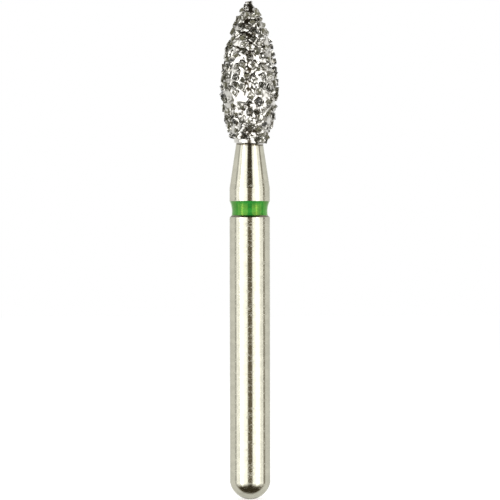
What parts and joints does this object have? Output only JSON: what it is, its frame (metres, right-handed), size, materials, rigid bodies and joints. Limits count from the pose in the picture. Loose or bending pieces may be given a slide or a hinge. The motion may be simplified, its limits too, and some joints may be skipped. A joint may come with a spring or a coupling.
{
  "type": "dental bur",
  "caption": "Friction grip dental bur: a smooth shank with a green colour band, a tapered neck and a pointed bud-shaped head coated with coarse diamond grit.",
  "frame": {"origin": "centre of the rounded shank end, at its lowest point on the bur's axis", "axes": "+Z along the bur's axis from the shank end to the tip of the head; the bur is round, so +X and +Y are any two radial directions, and +Y points away from the picture's camera"},
  "size_m": [0.0024, 0.0024, 0.0198],
  "materials": {
    "steel": "fine-ground bright stainless steel",
    "lacquer": "glossy green lacquer",
    "nickel": "bright electroplated nickel",
    "diamond": "translucent grey synthetic diamond crystals"
  },
  "bodies": {
    "root": {"steel_blank": "steel", "colour_band": "lacquer", "nickel_bond": "nickel", "diamond_grit": "diamond"}
  },
  "joints": []
}
